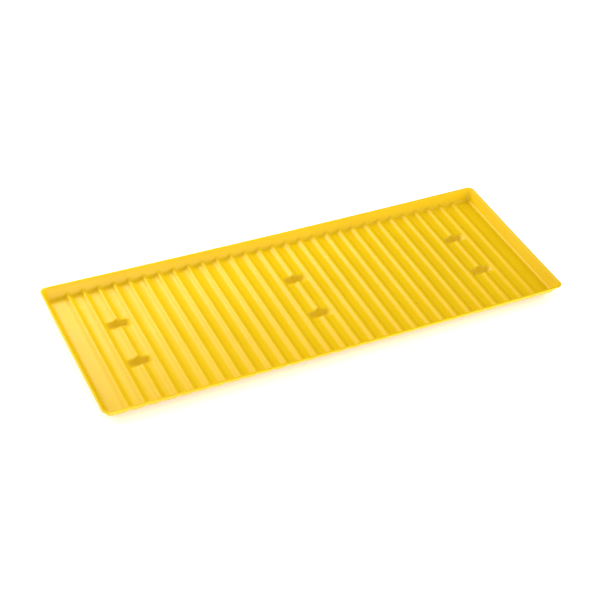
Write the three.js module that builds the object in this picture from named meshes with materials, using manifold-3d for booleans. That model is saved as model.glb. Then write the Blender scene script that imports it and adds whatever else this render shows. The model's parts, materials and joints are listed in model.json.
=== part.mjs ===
// A long, shallow spill containment tray, formed in one piece from a thick plastic sheet.
//
// Drafted walls carry a narrow flat lip. The floor has ribs that run from the front wall to the
// back wall, and they are hollow underneath, as on any formed sheet. Three ribs are broken by two
// pockets each, whose undersides are the six feet that the tray stands on.
//
// Millimetres, +X along the tray, +Y from front to back, +Z up. The origin is on the surface that
// the feet stand on, under the tray's centre.

import * as THREE from 'three';
import { mergeVertices } from 'three/addons/utils/BufferGeometryUtils.js';
import Module from 'manifold-3d';

const wasm = await Module();
wasm.setup();

// Driving dimensions
const length = 2440;
const width = 880;
const height = 84;
const sheet = 5;
const footDepth = 20;
const rimCornerRadius = 30;
const cornerVanishInset = 50;

const lipWidth = 7;
const baseInset = 33;
const outerBaseChamfer = 5;
const innerBaseChamfer = 6;

const ribCount = 29;
const ribPitch = 77.7;
const ribHeight = 12;
const ribHalfBase = 26;
const ribKnee = { out: 19, up: 2 };
const ribShoulder = { out: 7.5, up: 9.8 };
const ribHalfCrest = 3;

const pocketRibs = [3, 15, 27];
const pocketRows = [-134, 134];
const pocketHalfLengthX = 42;
const pocketHalfWidthY = 9;
const pocketSlopeX = 0.7;
const pocketSlopeY = 0.6;
const pocketCornerRadius = 7;
const ribEndHalfWidth = 30;

const clearance = 1;

// Levels that follow from them
const troughUnderside = footDepth;
const troughTop = troughUnderside + sheet;
const ribCrest = troughTop + ribHeight;
const pocketFloor = sheet;
const lipUnderside = height - sheet;
const wallSlope = (baseInset - lipWidth) / (lipUnderside - troughUnderside);
const wallThicknessAcross = sheet * Math.hypot(1, wallSlope);

// A closed solid from a three.js geometry, ready to be joined and cut.
function solidOf(geometry) {
  geometry.deleteAttribute('normal');
  geometry.deleteAttribute('uv');
  const merged = mergeVertices(geometry, 1e-4);
  return new wasm.Manifold(new wasm.Mesh({
    numProp: 3,
    vertProperties: new Float32Array(merged.getAttribute('position').array),
    triVerts: new Uint32Array(merged.getIndex().array),
  }));
}

// A three.js geometry from a solid.
function geometryOf(solid) {
  const mesh = solid.getMesh();
  const geometry = new THREE.BufferGeometry();
  geometry.setAttribute('position', new THREE.BufferAttribute(mesh.vertProperties, 3));
  geometry.setIndex(new THREE.BufferAttribute(mesh.triVerts, 1));
  geometry.computeVertexNormals();
  return geometry;
}

// The points of a rectangle with rounded corners, anticlockwise from above.
function roundedRectangle(halfX, halfY, radius, cornerSteps) {
  const outline = new THREE.Shape();
  const quarter = Math.PI / 2;
  outline.absarc(halfX - radius, halfY - radius, radius, 0, quarter, false);
  outline.absarc(radius - halfX, halfY - radius, radius, quarter, 2 * quarter, false);
  outline.absarc(radius - halfX, radius - halfY, radius, 2 * quarter, 3 * quarter, false);
  outline.absarc(halfX - radius, radius - halfY, radius, 3 * quarter, 4 * quarter, false);
  const points = outline.getPoints(cornerSteps);
  const last = points.length - 1;
  return points[0].distanceTo(points[last]) < 1e-6 ? points.slice(0, last) : points;
}

// A solid through convex rings of equal point count, each { points, z }, from the lowest up.
function loft(rings) {
  const count = rings[0].points.length;
  const positions = [];
  const index = [];
  for (const { points, z } of rings) {
    for (const point of points) positions.push(point.x, point.y, z);
  }
  for (let ring = 0; ring + 1 < rings.length; ring += 1) {
    for (let i = 0; i < count; i += 1) {
      const low = ring * count;
      const high = low + count;
      const next = (i + 1) % count;
      index.push(low + i, low + next, high + next);
      index.push(low + i, high + next, high + i);
    }
  }
  const top = (rings.length - 1) * count;
  for (let i = 1; i + 1 < count; i += 1) {
    index.push(0, i + 1, i);
    index.push(top, top + i, top + i + 1);
  }
  const geometry = new THREE.BufferGeometry();
  geometry.setAttribute('position', new THREE.Float32BufferAttribute(positions, 3));
  geometry.setIndex(index);
  return solidOf(geometry);
}

// The corners' radius in plan: the rim's over most of a wall, and less towards its base.
function cornerRadius(inset) {
  return Math.min(rimCornerRadius, cornerVanishInset - inset);
}

// A solid whose outline is the tray's rim drawn in by each profile point's inset.
function trayLoft(profile) {
  const cornerSteps = 8;
  return loft(profile.map(({ inset, z }) => ({
    points: roundedRectangle(length / 2 - inset, width / 2 - inset, cornerRadius(inset), cornerSteps),
    z,
  })));
}

function outerWallInset(z) {
  return baseInset - (z - troughUnderside) * wallSlope;
}

function innerWallInset(z) {
  return outerWallInset(z) + wallThicknessAcross;
}

// Everything inside the tray's outer skin, up to the rim, before it is hollowed.
function outerBody() {
  const chamferTop = troughUnderside + outerBaseChamfer;
  const body = trayLoft([
    { inset: baseInset + outerBaseChamfer, z: troughUnderside },
    { inset: outerWallInset(chamferTop), z: chamferTop },
    { inset: outerWallInset(height), z: height },
  ]);
  const lip = trayLoft([
    { inset: 0, z: lipUnderside },
    { inset: 0, z: height },
  ]);
  return body.add(lip);
}

// The room above the troughs and between the walls.
function basin() {
  const chamferTop = troughTop + innerBaseChamfer;
  const above = height + clearance;
  return trayLoft([
    { inset: innerWallInset(troughTop) + innerBaseChamfer, z: troughTop },
    { inset: innerWallInset(chamferTop), z: chamferTop },
    { inset: innerWallInset(above), z: above },
  ]);
}

// Half of a rib's upper outline, from its foot at the trough to its crest, above the trough's top.
function ribHalfOutline() {
  return [
    new THREE.Vector2(ribHalfBase, 0),
    new THREE.Vector2(ribKnee.out, ribKnee.up),
    new THREE.Vector2(ribShoulder.out, ribShoulder.up),
    new THREE.Vector2(ribHalfCrest, ribHeight),
  ];
}

// The same half outline on the sheet's underside: each point moves in by the sheet's thickness,
// square to the sheet.
function ribHalfUnderside() {
  const upper = ribHalfOutline();
  const beforeFoot = new THREE.Vector2(ribPitch / 2, 0);
  const afterCrest = new THREE.Vector2(0, ribHeight);
  const path = [beforeFoot, ...upper, afterCrest];
  return upper.map((point, i) => {
    const arriving = new THREE.Vector2().subVectors(point, path[i]).normalize();
    const leaving = new THREE.Vector2().subVectors(path[i + 2], point).normalize();
    const along = arriving.clone().add(leaving).normalize();
    const reach = sheet / along.dot(arriving);
    return new THREE.Vector2(point.x + along.y * -reach, point.y + along.x * reach);
  });
}

// A bar along Y with the given half outline on both sides of x, closed below at level z.
function ribBar(halfOutline, x, closingZ) {
  const right = halfOutline.map((point) => new THREE.Vector2(point.x, point.y + troughTop));
  const left = right.map((point) => new THREE.Vector2(-point.x, point.y)).reverse();
  const foot = right[0].x;
  const section = new THREE.Shape([
    new THREE.Vector2(-foot, closingZ),
    new THREE.Vector2(foot, closingZ),
    ...right,
    ...left,
  ]);
  const halfRun = width / 2 + clearance;
  const geometry = new THREE.ExtrudeGeometry(section, { depth: 2 * halfRun, bevelEnabled: false });
  geometry.rotateX(Math.PI / 2);
  geometry.translate(x, halfRun, 0);
  return solidOf(geometry);
}

function ribX(number) {
  return (number - (ribCount + 1) / 2) * ribPitch;
}

function allRibBars(halfOutline, closingZ) {
  let bars = ribBar(halfOutline, ribX(1), closingZ);
  for (let number = 2; number <= ribCount; number += 1) {
    bars = bars.add(ribBar(halfOutline, ribX(number), closingZ));
  }
  return bars;
}

// One end-to-end level of a pocket, drawn out by the given amounts along X and Y.
function pocketRing(z, growX, growY) {
  const cornerSteps = 3;
  return {
    points: roundedRectangle(
      pocketHalfLengthX + growX,
      pocketHalfWidthY + growY,
      pocketCornerRadius,
      cornerSteps,
    ),
    z,
  };
}

// The hollow of a pocket, with the sloping ends that it cuts on its rib above the trough.
function pocketHollow() {
  const depth = troughTop - pocketFloor;
  const above = ribCrest + clearance - pocketFloor;
  const hollow = loft([
    pocketRing(pocketFloor, 0, 0),
    pocketRing(troughTop, depth * pocketSlopeX, depth * pocketSlopeY),
    pocketRing(troughTop + ribKnee.up, depth * pocketSlopeX, depth * pocketSlopeY),
  ]);
  const narrow = ribEndHalfWidth - pocketHalfLengthX;
  const ribGap = loft([
    pocketRing(pocketFloor, narrow, 0),
    pocketRing(pocketFloor + above, narrow, above * pocketSlopeY),
  ]);
  return hollow.add(ribGap);
}

// The skin around a pocket before it is hollowed: the foot below the trough.
function footBody() {
  const skinX = sheet * Math.hypot(1, pocketSlopeX) - sheet * pocketSlopeX;
  const skinY = sheet * Math.hypot(1, pocketSlopeY) - sheet * pocketSlopeY;
  return loft([
    pocketRing(0, skinX, skinY),
    pocketRing(troughTop, skinX + troughTop * pocketSlopeX, skinY + troughTop * pocketSlopeY),
  ]);
}

// The skin that closes the broken rib's hollow on both sides of the pocket.
function ribEndCap() {
  const skinY = sheet * Math.hypot(1, pocketSlopeY) - sheet * pocketSlopeY;
  const above = ribCrest + clearance;
  const narrow = ribEndHalfWidth - pocketHalfLengthX;
  return loft([
    pocketRing(0, narrow, skinY),
    pocketRing(above, narrow, skinY + above * pocketSlopeY),
  ]);
}

// The same solid at every pocket.
function atEveryPocket(solid) {
  const places = pocketRibs.flatMap((number) => pocketRows.map((y) => [ribX(number), y, 0]));
  return places.map((place) => solid.translate(place)).reduce((all, next) => all.add(next));
}

function traySolid() {
  const outer = outerBody();
  const ribs = allRibBars(ribHalfOutline(), troughUnderside).intersect(outer);
  const feet = atEveryPocket(footBody());
  const belowRibs = troughUnderside - clearance;
  const grooves = allRibBars(ribHalfUnderside(), belowRibs).subtract(atEveryPocket(ribEndCap()));
  return outer
    .subtract(basin())
    .add(ribs)
    .subtract(grooves)
    .add(feet)
    .subtract(atEveryPocket(pocketHollow()));
}

const yellowSheet = new THREE.MeshStandardMaterial({
  color: new THREE.Color(0.96, 0.72, 0.02),
  roughness: 0.42,
  metalness: 0,
});

const tray = new THREE.Mesh(geometryOf(traySolid()), yellowSheet);
tray.name = 'spill_tray';

const spillContainmentTray = new THREE.Group();
spillContainmentTray.add(tray);

export default spillContainmentTray;
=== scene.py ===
"""The looks of a long, shallow spill containment tray, formed in one piece from yellow plastic sheet.

One mesh stands for the CAD node spill_tray. Its upper skin is a grid of the ribbed floor with its
six pockets, and columns that run from the floor's edge up the walls and out over the lip. The
lower skin is the upper one moved in by the sheet's thickness. Everything is in metres.

The studio floor is faintly lit, to soften the shadow at the tray's edge.
"""

import json
import math

import bpy
import numpy as np
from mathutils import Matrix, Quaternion, Vector


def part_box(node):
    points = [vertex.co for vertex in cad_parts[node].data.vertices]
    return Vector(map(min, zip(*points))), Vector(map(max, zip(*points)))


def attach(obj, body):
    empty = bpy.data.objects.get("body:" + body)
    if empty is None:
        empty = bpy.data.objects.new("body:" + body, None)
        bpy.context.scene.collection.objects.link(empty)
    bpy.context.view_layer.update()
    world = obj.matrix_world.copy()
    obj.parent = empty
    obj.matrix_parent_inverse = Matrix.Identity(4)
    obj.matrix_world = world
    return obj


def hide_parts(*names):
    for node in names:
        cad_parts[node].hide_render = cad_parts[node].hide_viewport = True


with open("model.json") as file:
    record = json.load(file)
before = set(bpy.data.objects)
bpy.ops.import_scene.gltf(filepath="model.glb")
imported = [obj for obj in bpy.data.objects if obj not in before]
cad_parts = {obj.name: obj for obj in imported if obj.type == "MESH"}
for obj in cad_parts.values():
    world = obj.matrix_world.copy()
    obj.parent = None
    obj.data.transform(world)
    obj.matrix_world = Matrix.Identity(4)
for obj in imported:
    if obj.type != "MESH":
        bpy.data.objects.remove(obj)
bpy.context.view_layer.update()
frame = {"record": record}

TRAY_LOW, TRAY_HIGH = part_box("spill_tray")

# The tray's main sizes, as in the CAD part
HALF_LENGTH = TRAY_HIGH.x
HALF_WIDTH = TRAY_HIGH.y
RIM = TRAY_HIGH.z
SHEET = 0.005
FOOT_DEPTH = 0.020
TROUGH = FOOT_DEPTH + SHEET
RIM_CORNER_RADIUS = 0.030
LIP_WIDTH = 0.007
BASE_INSET = 0.033

RIB_COUNT = 29
RIB_PITCH = 0.0777
RIB_HEIGHT = 0.012
CREST = TROUGH + RIB_HEIGHT

# Finer shape than the CAD part's facets
RIB_HALF_BASE = 0.0195
RIB_HALF_CREST = 0.0048
RIB_FOOT_RADIUS = 0.030
RIB_CREST_RADIUS = 0.011
WALL_BASE_RADIUS = 0.018
LIP_RADIUS = 0.008
EDGE_RADIUS = 0.0012
CORNER_BLEND = 0.008
SIDE_SAG = 0.008
END_SAG = 0.003
SAG_POWER = 1.5

# Pockets: one stands over each foot mount of the record
POCKET_FLOOR = SHEET
POCKET_BOTTOM_X = 0.036
POCKET_BOTTOM_Y = 0.003
POCKET_REACH_X = 0.062
POCKET_REACH_Y = 0.030
POCKET_PLACES = [Vector(m["pos_m"]) for m in frame["record"]["mounts"]]

# How finely the skin is divided
FOOT_STEPS = 4
CREST_STEPS = 3
WALL_BASE_STEPS = 8
LIP_STEPS = 5
CORNER_STEPS = 8
POCKET_COLUMNS = [0.0225, 0.0274, 0.033, 0.036, 0.039, 0.042, 0.045, 0.0503, 0.0553, 0.060]
POCKET_ROW_REACH = 0.036
POCKET_ROWS = 30
MIDDLE_ROWS = 6
OUTER_ROWS = 8
END_COLUMN_SHARE = 0.3

# The direction that the studio is darkest in, and its strength away from it and along it
DARK_SIDE = (0.47, 0.60, 0.65)
DARK_FROM = 0.45
DARK_TO = 0.93
WORLD_BRIGHT = 0.93
WORLD_DARK = 0.15

FLOOR_HALF_SIZE = 25.0
FLOOR_GLOW = 0.3
WHITE = (1, 1, 1, 1)

# Levels and insets that follow from them
WALL_SLOPE = (BASE_INSET - LIP_WIDTH) / (RIM - SHEET - FOOT_DEPTH)
WALL_ACROSS = SHEET * math.hypot(1, WALL_SLOPE)
CORE_INSET = 0.050
CORE_X = HALF_LENGTH - CORE_INSET
CORE_Y = HALF_WIDTH - CORE_INSET


# ---------------------------------------------------------------- the upper skin


def rounded(path, radii, steps):
    """The path's points, with each inner corner replaced by an arc of its radius in equal steps."""
    points = [Vector(path[0])]
    for i, (radius, count) in enumerate(zip(radii, steps), start=1):
        corner = Vector(path[i])
        arriving = (corner - Vector(path[i - 1])).normalized()
        leaving = (Vector(path[i + 1]) - corner).normalized()
        turn = arriving.angle_signed(leaving)
        setback = radius * math.tan(abs(turn) / 2)
        inward = (leaving - arriving).normalized()
        centre = corner + inward * (radius / math.cos(turn / 2))
        spoke = corner - arriving * setback - centre
        for step in range(count + 1):
            angle = -turn * step / count
            turned = Vector((
                spoke.x * math.cos(angle) - spoke.y * math.sin(angle),
                spoke.x * math.sin(angle) + spoke.y * math.cos(angle),
            ))
            points.append(centre + turned)
    points.append(Vector(path[-1]))
    return points


def rib_half_section():
    """Points from the middle of a trough up to the middle of a crest: distance from it, height."""
    path = [
        (RIB_PITCH / 2, 0),
        (RIB_HALF_BASE, 0),
        (RIB_HALF_CREST, RIB_HEIGHT),
        (0, RIB_HEIGHT),
    ]
    return rounded(path, (RIB_FOOT_RADIUS, RIB_CREST_RADIUS), (FOOT_STEPS, CREST_STEPS))


def rib_places():
    return [(i - (RIB_COUNT - 1) / 2) * RIB_PITCH for i in range(RIB_COUNT)]


def floor_height(x):
    """The ribbed floor's level at each x, with no pockets."""
    section = rib_half_section()
    distance = np.array([p.x for p in reversed(section)])
    height = np.array([p.y for p in reversed(section)])
    nearest = np.min(np.abs(np.asarray(x)[:, None] - np.array(rib_places())[None, :]), axis=1)
    return TROUGH + np.interp(nearest, distance, height)


def smooth_min(a, b, blend):
    """The lower of two surfaces, with the crease between them rounded over the blend height."""
    share = np.clip(0.5 + 0.5 * (b - a) / blend, 0, 1)
    return b + (a - b) * share - blend * share * (1 - share)


def eased(distance, start, end):
    """From 0 at the start distance to 1 at the end, with no crease at either."""
    share = np.clip((np.abs(distance) - start) / (end - start), 0, 1)
    return share * share * (3 - 2 * share)


def with_pocket(z, x, y, place):
    """The floor's levels, drawn down smoothly to the pocket's flat bottom round its place."""
    beyond_x = eased(x - place.x, POCKET_BOTTOM_X, POCKET_REACH_X)
    beyond_y = eased(y - place.y, POCKET_BOTTOM_Y, POCKET_REACH_Y)
    depth = (1 - beyond_x) * (1 - beyond_y)
    return z + (POCKET_FLOOR - z) * depth


def core_columns():
    """The grid's x values: every rib's section points, and more across the pockets."""
    places = [-CORE_X, CORE_X]
    for rib in rib_places():
        for point in rib_half_section()[1:-1]:
            places += [rib - point.x, rib + point.x]
    for rib in {round(p.x, 6) for p in POCKET_PLACES}:
        places += [rib + side * step for step in POCKET_COLUMNS for side in (-1, 1)]
    step_in = END_COLUMN_SHARE * (CORE_X - rib_places()[-1])
    places += [-CORE_X + step_in, CORE_X - step_in]
    return np.array(sorted(places))


def core_rows():
    """The grid's y values: close together at the pockets, and far apart elsewhere."""
    reach = POCKET_ROW_REACH
    front, back = sorted({round(p.y, 6) for p in POCKET_PLACES})
    stops = [
        (-CORE_Y, front - reach, OUTER_ROWS),
        (front - reach, front + reach, POCKET_ROWS),
        (front + reach, back - reach, MIDDLE_ROWS),
        (back - reach, back + reach, POCKET_ROWS),
        (back + reach, CORE_Y, OUTER_ROWS),
    ]
    places = [np.linspace(low, high, count, endpoint=False) for low, high, count in stops]
    return np.append(np.concatenate(places), CORE_Y)


def core_grid():
    """Vertices and faces of the floor inside the walls, and the vertex numbers as a grid."""
    xs = core_columns()
    ys = core_rows()
    x, y = np.meshgrid(xs, ys, indexing="ij")
    z = np.repeat(floor_height(xs)[:, None], len(ys), axis=1)
    for place in POCKET_PLACES:
        z = with_pocket(z, x, y, place)
    vertices = np.stack([x, y, z], axis=-1).reshape(-1, 3)
    number = np.arange(len(xs) * len(ys)).reshape(len(xs), len(ys))
    corners = [number[:-1, :-1], number[1:, :-1], number[1:, 1:], number[:-1, 1:]]
    faces = np.stack(corners, axis=-1).reshape(-1, 4)
    return vertices, faces.tolist(), number


def wall_columns(number):
    """Every column round the core, anticlockwise: first vertex, way out, and if it is a corner's."""
    quarter = math.pi / 2
    edges = [number[:, 0], number[-1, :], number[::-1, -1], number[0, ::-1]]
    columns = []
    for side, edge in enumerate(edges):
        facing = (side - 1) * quarter
        columns += [(vertex, facing, False) for vertex in edge[1:-1]]
        for step in range(CORNER_STEPS + 1):
            columns.append((edge[-1], facing + quarter * step / CORNER_STEPS, True))
    return [(vertex, Vector((math.cos(a), math.sin(a))), corner) for vertex, a, corner in columns]


def wall_profile(level):
    """Inset and height up a wall from the floor's edge at that level to the lip's outer edge."""
    def wall_inset(z):
        return BASE_INSET - (z - FOOT_DEPTH) * WALL_SLOPE + WALL_ACROSS

    path = [
        (CORE_INSET, level),
        (wall_inset(level), level),
        (wall_inset(RIM), RIM),
        (EDGE_RADIUS, RIM),
    ]
    return rounded(path, (WALL_BASE_RADIUS, LIP_RADIUS), (WALL_BASE_STEPS, LIP_STEPS))[1:]


def corner_radius(inset):
    """The corner's radius in plan at an inset: the rim's, drawn in to nothing at the core."""
    return float(smooth_min(RIM_CORNER_RADIUS, CORE_INSET - inset, CORNER_BLEND))


def sagged(point):
    """The point with the walls' slight droop between the stiff corners."""
    share = max(0.0, (point.z - CREST) / (RIM - CREST)) ** SAG_POWER
    along_side = max(0.0, 1 - (point.x / CORE_X) ** 2)
    along_end = max(0.0, 1 - (point.y / CORE_Y) ** 2)
    droop = SIDE_SAG * along_side if abs(point.y) > CORE_Y else END_SAG * along_end
    return Vector((point.x, point.y, point.z - droop * share))


def add_rings(vertices, faces, columns, rings):
    """Adds each column's points and joins neighbouring columns. Returns the last ring's numbers."""
    first = len(vertices)
    count = len(rings[0])
    inner = [column[0] for column in columns]
    for ring in rings:
        vertices.extend(ring)
    for i in range(len(columns)):
        after = (i + 1) % len(columns)
        chain = [inner[i]] + [first + i * count + k for k in range(count)]
        chain_after = [inner[after]] + [first + after * count + k for k in range(count)]
        for k in range(count):
            face = [chain[k], chain[k + 1], chain_after[k + 1], chain_after[k]]
            faces.append(list(dict.fromkeys(face)))
    return [first + i * count + count - 1 for i in range(len(columns))]


def upper_skin():
    """Vertices, faces, and the rim's vertex numbers with each one's way out."""
    core, faces, number = core_grid()
    vertices = [Vector(v) for v in core]
    columns = wall_columns(number)
    rings = []
    for vertex, out, at_corner in columns:
        start = vertices[vertex]
        points = []
        for inset, z in wall_profile(start.z):
            reach = corner_radius(inset) if at_corner else CORE_INSET - inset
            shift = CORE_INSET - inset - reach
            x = start.x + out.x * reach + math.copysign(shift, start.x)
            y = start.y + out.y * reach + math.copysign(shift, start.y)
            points.append(sagged(Vector((x, y, z))))
        rings.append(points)
    rim = add_rings(vertices, faces, columns, rings)
    return vertices, faces, [(vertex, column[1]) for vertex, column in zip(rim, columns)]


# ---------------------------------------------------------------- the whole sheet


def vertex_normals(vertices, faces):
    """Unit normals of an open skin, each the area-weighted mean of the faces round its vertex."""
    points = np.array(vertices, float)
    normals = np.zeros_like(points)
    for face in faces:
        a, b, c = points[face[0]], points[face[1]], points[face[2]]
        if len(face) == 4:
            across = np.cross(c - a, points[face[3]] - b)
        else:
            across = np.cross(b - a, c - a)
        for vertex in face:
            normals[vertex] += across
    return normals / np.linalg.norm(normals, axis=1)[:, None]


def rounded_edge(start, out):
    """Points round the lip's outer edge, from just under its top to just over its underside."""
    near = EDGE_RADIUS * (1 - math.sqrt(0.5))
    drops = [
        (EDGE_RADIUS - near, near),
        (EDGE_RADIUS, EDGE_RADIUS),
        (EDGE_RADIUS, SHEET - EDGE_RADIUS),
        (EDGE_RADIUS - near, SHEET - near),
    ]
    return [start + Vector((out.x * reach, out.y * reach, -drop)) for reach, drop in drops]


def tray_mesh():
    """The closed sheet: upper skin, rounded rim edge and lower skin."""
    vertices, upper_faces, rim = upper_skin()
    normals = vertex_normals(vertices, upper_faces)
    count = len(vertices)
    lower = [v - Vector(n) * SHEET for v, n in zip(vertices, normals)]
    vertices = vertices + lower
    faces = upper_faces + [[count + v for v in reversed(face)] for face in upper_faces]
    edges = [rounded_edge(vertices[vertex], out) for vertex, out in rim]
    last = add_rings(vertices, faces, rim, edges)
    for i, (vertex, _) in enumerate(rim):
        after = (i + 1) % len(rim)
        faces.append([last[i], count + vertex, count + rim[after][0], last[after]])
    mesh = bpy.data.meshes.new("formed_tray")
    mesh.from_pydata([tuple(v) for v in vertices], [], faces)
    mesh.validate()
    mesh.shade_smooth()
    return mesh


# ---------------------------------------------------------------- materials


def node_material(name):
    material = bpy.data.materials.new(name)
    material.use_nodes = True
    nodes = material.node_tree.nodes
    shader = nodes["Principled BSDF"]
    return material, material.node_tree, shader


def noise(tree, scale, detail, place):
    """A noise texture in the object's own space."""
    texture = tree.nodes.new("ShaderNodeTexNoise")
    texture.inputs["Scale"].default_value = scale
    texture.inputs["Detail"].default_value = detail
    tree.links.new(place, texture.inputs["Vector"])
    return texture.outputs["Fac"]


def ranged(tree, value, low, high, to_low, to_high):
    """The value mapped from low..high to to_low..to_high, and held at the ends."""
    node = tree.nodes.new("ShaderNodeMapRange")
    tree.links.new(value, node.inputs["Value"])
    node.inputs["From Min"].default_value = low
    node.inputs["From Max"].default_value = high
    node.inputs["To Min"].default_value = to_low
    node.inputs["To Max"].default_value = to_high
    return node.outputs["Result"]


def mixed_colour(tree, share, first, second):
    node = tree.nodes.new("ShaderNodeMix")
    node.data_type = "RGBA"
    tree.links.new(share, node.inputs["Factor"])
    for socket, colour in ((node.inputs[6], first), (node.inputs[7], second)):
        if isinstance(colour, tuple):
            socket.default_value = (*colour, 1)
        else:
            tree.links.new(colour, socket)
    return node.outputs[2]


def yellow_sheet():
    """Satin yellow polyethylene: uneven colour and gloss, and a fine leathery grain."""
    material, tree, shader = node_material("yellow_sheet")
    place = tree.nodes.new("ShaderNodeTexCoord").outputs["Object"]
    cloud = ranged(tree, noise(tree, 3.0, 3.0, place), 0.3, 0.7, 0.0, 1.0)
    colour = mixed_colour(tree, cloud, (0.69, 0.44, 0.001), (0.72, 0.465, 0.002))
    tree.links.new(colour, shader.inputs["Base Color"])
    gloss = ranged(tree, noise(tree, 24.0, 4.0, place), 0.3, 0.7, 0.29, 0.37)
    tree.links.new(gloss, shader.inputs["Roughness"])
    shader.inputs["Specular IOR Level"].default_value = 0.18
    grain = noise(tree, 900.0, 2.0, place)
    bump = tree.nodes.new("ShaderNodeBump")
    bump.inputs["Strength"].default_value = 0.15
    bump.inputs["Distance"].default_value = 0.0002
    tree.links.new(grain, bump.inputs["Height"])
    tree.links.new(bump.outputs["Normal"], shader.inputs["Normal"])
    return material


def floor_paper():
    """Matt white paper, faintly lit so that it stays pale under the tray's edge."""
    material, tree, shader = node_material("floor_paper")
    place = tree.nodes.new("ShaderNodeTexCoord").outputs["Object"]
    tone = ranged(tree, noise(tree, 2.0, 2.0, place), 0.3, 0.7, 0.0, 1.0)
    colour = mixed_colour(tree, tone, (0.93, 0.93, 0.93), (0.95, 0.95, 0.95))
    tree.links.new(colour, shader.inputs["Base Color"])
    shader.inputs["Roughness"].default_value = 0.9
    shader.inputs["Specular IOR Level"].default_value = 0.1
    shader.inputs["Emission Color"].default_value = WHITE
    shader.inputs["Emission Strength"].default_value = FLOOR_GLOW
    return material


# ---------------------------------------------------------------- the scene


def linked(name, data):
    made = bpy.data.objects.new(name, data)
    bpy.context.scene.collection.objects.link(made)
    return made


def formed_tray():
    tray = linked("formed_tray", tray_mesh())
    tray.data.materials.append(yellow_sheet())
    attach(tray, "root")
    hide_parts("spill_tray")


def studio_floor():
    half = FLOOR_HALF_SIZE
    mesh = bpy.data.meshes.new("studio_floor")
    corners = [(-half, -half, 0), (half, -half, 0), (half, half, 0), (-half, half, 0)]
    mesh.from_pydata(corners, [], [(0, 1, 2, 3)])
    mesh.materials.append(floor_paper())
    made = linked("studio_floor", mesh)
    made.location.z = TRAY_LOW.z


def softbox(name, place, aim, width, height, watts):
    """A rectangular area light at a place, facing the aim."""
    light = bpy.data.lights.new(name, "AREA")
    light.shape = "RECTANGLE"
    light.size = width
    light.size_y = height
    light.energy = watts
    made = linked(name, light)
    made.location = place
    made.rotation_euler = (Vector(aim) - Vector(place)).to_track_quat("-Z", "Y").to_euler()


def studio_world():
    """White surroundings, darker behind the tray on the right, so its flats keep their colour."""
    world = bpy.data.worlds.new("studio")
    world.use_nodes = True
    tree = world.node_tree
    direction = tree.nodes.new("ShaderNodeTexCoord").outputs["Generated"]
    toward_dark = tree.nodes.new("ShaderNodeVectorMath")
    toward_dark.operation = "DOT_PRODUCT"
    toward_dark.inputs[1].default_value = DARK_SIDE
    tree.links.new(direction, toward_dark.inputs[0])
    facing = toward_dark.outputs["Value"]
    strength = ranged(tree, facing, DARK_FROM, DARK_TO, WORLD_BRIGHT, WORLD_DARK)
    tree.links.new(strength, tree.nodes["Background"].inputs["Strength"])
    tree.nodes["Background"].inputs["Color"].default_value = WHITE
    return world


def studio_light():
    bpy.context.scene.world = studio_world()
    softbox("key_left", (-3.4, 4.4, 2.6), (0, 0, 0), 3.4, 2.0, 145)
    softbox("back_light", (-0.9, 2.2, 2.15), (-0.9, 0, 0), 1.6, 1.0, 60)
    softbox("front_fill", (1.0, -5.0, 0.36), (0, 0, 0.05), 2.6, 0.4, 165)
    softbox("right_fill", (13.0, -1.0, 12.0), (0, 0, 0), 10.0, 7.0, 900)


def photo_camera():
    """The photograph's view: from the front left, above, and slightly rolled."""
    azimuth = math.radians(-31.50)
    elevation = math.radians(41.05)
    roll = math.radians(7.30)
    distance = 6.397
    target = Vector((-0.0843, -0.0689, RIM))
    toward = Vector((
        math.sin(azimuth) * math.cos(elevation),
        -math.cos(azimuth) * math.cos(elevation),
        math.sin(elevation),
    ))
    data = bpy.data.cameras.new("camera")
    data.sensor_width = 36.0
    data.lens = 79.7
    made = linked("camera", data)
    made.location = target + toward * distance
    made.rotation_mode = "QUATERNION"
    made.rotation_quaternion = (-toward).to_track_quat("-Z", "Y") @ Quaternion((0, 0, 1), roll)
    bpy.context.scene.camera = made


formed_tray()
studio_floor()
studio_light()
photo_camera()
bpy.context.scene.view_settings.view_transform = "Standard"
